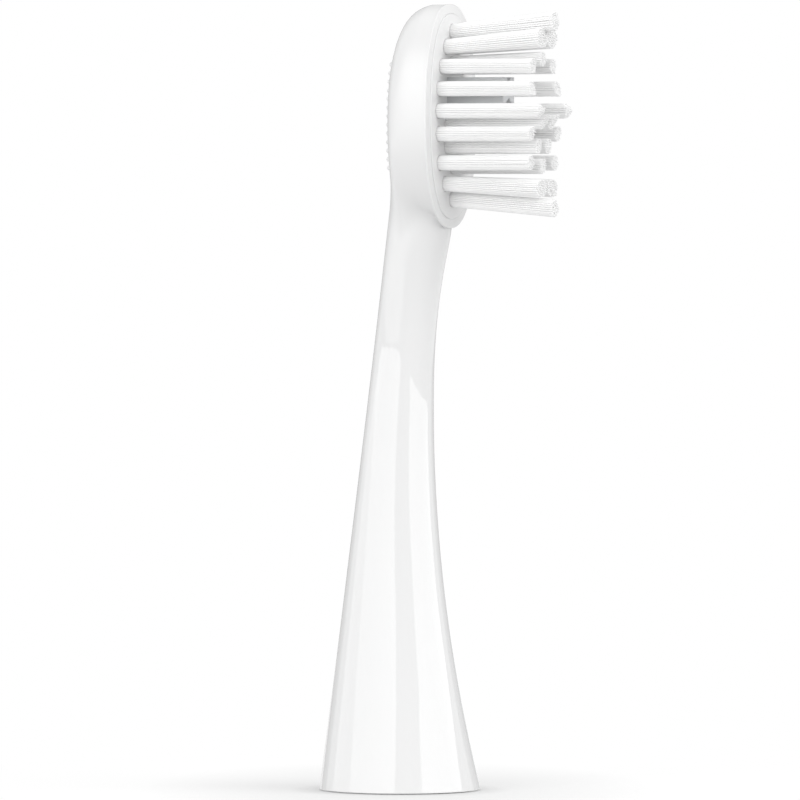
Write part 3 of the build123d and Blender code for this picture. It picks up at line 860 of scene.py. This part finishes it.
class BRUSH_OT_body(BrushOperator):
    """Build the moulded body with its rim, seats and hollow"""

    bl_idname = "brush.body"
    bl_label = "Moulded body"

    def execute(self, context):
        stem, head = context.scene.brush_stem, context.scene.brush_head
        outer = outer_rings(stem, head)
        face = face_rings(head, outer[-1])
        hollow, top = hollow_rings(stem)
        rings = np.concatenate([hollow, base_rings(stem, outer[0]), sink_pad_bed(head, outer), face])
        end = np.array([face[-1, 0, 0], 0, head.centre_height])
        points, faces = closed_shell(rings, top, end)
        material = finish_material("gloss_white_moulding", context.scene.brush_finishes.body, BODY_SATIN)
        put_piece("moulded_body", points, faces, material, ["brush_body"])
        return {"FINISHED"}


class BRUSH_OT_pad(BrushOperator):
    """Build the studded pad on the back of the head"""

    bl_idname = "brush.pad"
    bl_label = "Studded pad"

    def execute(self, context):
        stem, head = context.scene.brush_stem, context.scene.brush_head
        points, faces = pad_shell(stem, head)
        domes, quads, caps = stud_domes(head, stud_feet(stem, head))
        faces = faces + (quads + len(points)).tolist() + (caps + len(points)).tolist()
        points = np.concatenate([points, domes])
        material = finish_material("soft_white_pad", context.scene.brush_finishes.pad)
        put_piece("studded_pad", points, faces, material, ["tongue_pad"])
        return {"FINISHED"}


class BRUSH_OT_tufts(BrushOperator):
    """Build every tuft as a bundle of filaments"""

    bl_idname = "brush.tufts"
    bl_label = "Nylon tufts"

    def execute(self, context):
        head, tufts = context.scene.brush_head, context.scene.brush_tufts
        # The nylon finish glows faintly: painted light in place of light let through the filaments
        material = finish_material("satin_nylon_painted_glow", context.scene.brush_finishes.nylon)
        for group, rows in (("ring", RING_ROWS), ("inner", INNER_ROWS)):
            for number, row in enumerate(both_sides(rows), 1):
                points, faces = tuft_bundle(head, tufts, row, seed=number + 100 * len(rows))
                name = f"{group}_tuft_{number:02d}"
                put_piece(f"{name}_filaments", points, faces, material, [name], TUFT_SHARP)
        return {"FINISHED"}


class BRUSH_OT_finishes(BrushOperator):
    """Give the plate, post, socket and clip their finishes"""

    bl_idname = "brush.finishes"
    bl_label = "Finishes of the other solids"

    def execute(self, context):
        finishes = context.scene.brush_finishes
        made = {
            "bristle_plate": finish_material("satin_white_plate", finishes.plate),
            "massage_post": finish_material("soft_grey_post", finishes.post),
            "drive_socket": finish_material("natural_white_insert", finishes.insert),
            "spring_clip": finish_material("spring_steel", finishes.steel),
        }
        for node, material in made.items():
            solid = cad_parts[node]
            solid.data.materials.clear()
            solid.data.materials.append(material)
        return {"FINISHED"}


def from_camera(studio, azimuth, elevation, distance):
    """Places at azimuths from the camera's direction, rightwards, and elevations, about the stem's middle."""
    turn, rise = np.radians(studio.azimuth + azimuth), np.radians(elevation)
    level = np.cos(rise)
    heading = np.stack([np.sin(turn) * level, -np.cos(turn) * level, np.sin(rise) + 0 * turn], axis=-1)
    return np.array([0, 0, studio.aim_height]) + distance * heading


def softbox(name, studio, place, radiance):
    """Square lamp facing the stem that gives plain light and isn't mirrored."""
    azimuth, elevation, size = place
    data = bpy.data.lights.new(name, "AREA")
    data.shape = "SQUARE"
    data.size = size
    data.energy = radiance * np.pi * size**2
    lamp = bpy.data.objects.new(name, data)
    lamp.location = from_camera(studio, azimuth, elevation, LAMP_DISTANCE)
    outwards = lamp.location - Vector((0, 0, studio.aim_height))
    lamp.rotation_euler = outwards.to_track_quat("Z", "Y").to_euler()
    lamp.visible_glossy = False
    bpy.context.scene.collection.objects.link(lamp)


def strip_panel(name, studio, outline, radiance, distance=PANEL_DISTANCE):
    """Glowing panel seen only in gloss, between two edges that are azimuths at rising elevations.

    Its rows crowd towards its lower end by the square of their share.
    """
    low, high = outline[0][0][0], outline[0][-1][0]
    rises = low + (high - low) * np.linspace(0, 1, PANEL_ROWS) ** 2
    left, right = (np.interp(rises, *np.array(edge).T)[:, None] for edge in outline)
    azimuth = left + (right - left) * np.linspace(0, 1, PANEL_COLUMNS)
    points = from_camera(studio, azimuth, rises[:, None] + 0 * azimuth, distance).reshape(-1, 3)
    row, place = np.meshgrid(np.arange(PANEL_ROWS - 1), np.arange(PANEL_COLUMNS - 1), indexing="ij")
    corner = row * PANEL_COLUMNS + place
    above = corner + PANEL_COLUMNS
    quads = np.stack([corner, corner + 1, above + 1, above], axis=-1).reshape(-1, 4)
    material = bpy.data.materials.new(name)
    shader = Shader(material)
    shader.finish(shader.node("ShaderNodeEmission", None, Color=WHITE, Strength=radiance))
    panel = new_object(name, points, quads.tolist(), material)
    for ray in ("camera", "diffuse", "transmission", "volume_scatter", "shadow"):
        setattr(panel, f"visible_{ray}", False)


def seen_white(shader):
    """One for camera, glossy and transmission rays, and zero for the rest."""
    path = shader.tree.nodes.new("ShaderNodeLightPath")
    names = ("Is Camera Ray", "Is Glossy Ray", "Is Transmission Ray")
    rays = [Wire(shader, path.outputs[name]) for name in names]
    return rays[0].at_least(rays[1]).at_least(rays[2])


class BRUSH_OT_studio(BrushOperator):
    """Set up the floor, the white surroundings, the lamps and the camera"""

    bl_idname = "brush.studio"
    bl_label = "Studio"

    def execute(self, context):
        scene = context.scene
        studio = scene.brush_studio
        scene.view_settings.view_transform = "Standard"
        self.surroundings(scene, studio)
        self.floor(studio)
        softbox("key_softbox", studio, KEY_LAMP, studio.key)
        softbox("side_softbox", studio, SIDE_LAMP, studio.side)
        strip_panel("left_strip", studio, LEFT_STRIP, studio.strips)
        strip_panel("right_strip", studio, RIGHT_STRIP, studio.strips)
        strip_panel("neck_glow", studio, NECK_GLOW, studio.neck_glow, NECK_PANEL_DISTANCE)
        strip_panel("left_flag", studio, LEFT_FLAG, studio.flags)
        strip_panel("right_flag", studio, RIGHT_FLAG, studio.flags)
        self.camera(scene, studio)
        return {"FINISHED"}

    def surroundings(self, scene, studio):
        """White for what is seen or mirrored, and a weaker fill for the diffuse light."""
        world = bpy.data.worlds.new("white_surroundings")
        scene.world = world
        shader = Shader(world)
        strength = seen_white(shader) * (1 - studio.world_fill) + studio.world_fill
        white = shader.node("ShaderNodeBackground", None, Color=WHITE, Strength=strength)
        shader.node("ShaderNodeOutputWorld", None, white)

    def floor(self, studio):
        """White floor: plain diffuse for light, and diffuse with a white glow for what is seen.

        Away from the stem the glow takes over, so the floor fades into the white surroundings. Near
        the stem a painted wide oval shade and a painted close round one dim both, a shadow drawn into
        the floor's colour rather than cast.
        """
        material = bpy.data.materials.new("white_floor")
        shader = Shader(material)
        plain = shader.node("ShaderNodeBsdfDiffuse", None, Color=(*studio.floor, 1.0))
        place = shader.node("ShaderNodeTexCoord", output="Object")
        turned = shader.node("ShaderNodeMapping", None, place, Rotation=(0, 0, -np.radians(studio.azimuth)))
        oval = shader.node("ShaderNodeMapping", None, turned, Scale=(1, OVAL_SQUEEZE, 1))
        away = shader.distance(place)
        far = away.ramp(*FAR_RAMP)
        # Painted shadow: a wide oval and a close ring round the stem dim the floor's colour, drawn in rather
        # than cast
        wide = shader.distance(oval).ramp(*WIDE_PAINTED_SHADE_RAMP)
        light = 1.0 - WIDE_PAINTED_SHADE * wide - CLOSE_PAINTED_SHADE * away.ramp(*CLOSE_PAINTED_SHADE_RAMP)
        grey = shader.mix(light, BLACK, (SHADOW_SHARE, SHADOW_SHARE, SHADOW_SHARE, 1.0))
        shadowed = shader.node("ShaderNodeBsdfDiffuse", None, Color=shader.mix(far, grey, BLACK))
        white = shader.mix((GLOW_SHARE + (1 - GLOW_SHARE) * far) * light, BLACK, WHITE)
        glow = shader.node("ShaderNodeEmission", None, Color=white, Strength=1.0)
        seen = shader.node("ShaderNodeAddShader", None, shadowed, glow)
        shader.finish(shader.node("ShaderNodeMixShader", None, seen_white(shader), plain, seen))
        corners = FLOOR_HALF * np.array([(-1, -1, 0), (1, -1, 0), (1, 1, 0), (-1, 1, 0)])
        ground = new_object("floor", corners, [(0, 1, 2, 3)], material)

    def camera(self, scene, studio):
        """Long lens a little above the head's foot, aimed at the stem's middle."""
        data = bpy.data.cameras.new("camera")
        data.lens = studio.lens
        data.sensor_width = SENSOR_WIDTH
        data.clip_start, data.clip_end = CLIP_RANGE
        turn = np.radians(studio.azimuth)
        camera = bpy.data.objects.new("camera", data)
        camera.location = (studio.distance * np.sin(turn), -studio.distance * np.cos(turn),
                           studio.camera_height)
        aim = Vector((0, 0, studio.aim_height)) - camera.location
        camera.rotation_euler = aim.to_track_quat("-Z", "Y").to_euler()
        scene.collection.objects.link(camera)
        scene.camera = camera


class BRUSH_PT_panel(bpy.types.Panel):
    """Lists the steps that dress the brush head"""

    bl_label = "Brush head"
    bl_idname = "BRUSH_PT_panel"
    bl_space_type = "VIEW_3D"
    bl_region_type = "UI"
    bl_category = "Brush head"

    def draw(self, context):
        for operator in OPERATORS:
            self.layout.operator(operator.bl_idname)
        for name in SETTINGS:
            group = getattr(context.scene, name)
            column = self.layout.column(align=True)
            for key in group.bl_rna.properties.keys():
                if key not in ("rna_type", "name"):
                    column.prop(group, key)


OPERATORS = (BRUSH_OT_body, BRUSH_OT_pad, BRUSH_OT_tufts, BRUSH_OT_finishes, BRUSH_OT_studio)
SETTINGS = {
    "brush_stem": BrushStemSizes,
    "brush_head": BrushHeadSizes,
    "brush_tufts": BrushTuftSizes,
    "brush_finishes": BrushFinishes,
    "brush_studio": BrushStudio,
}
CLASSES = (*SETTINGS.values(), *OPERATORS, BRUSH_PT_panel)


def register():
    """Registers the classes and hangs the settings on the scene."""
    for item in CLASSES:
        bpy.utils.register_class(item)
    for name, group in SETTINGS.items():
        setattr(bpy.types.Scene, name, PointerProperty(type=group))


def unregister():
    """Takes the settings and the classes away again."""
    for name in SETTINGS:
        delattr(bpy.types.Scene, name)
    for item in reversed(CLASSES):
        bpy.utils.unregister_class(item)


def main():
    """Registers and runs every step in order."""
    register()
    bpy.ops.brush.body()
    bpy.ops.brush.pad()
    bpy.ops.brush.tufts()
    bpy.ops.brush.finishes()
    bpy.ops.brush.studio()


if __name__ == "__main__":
    main()
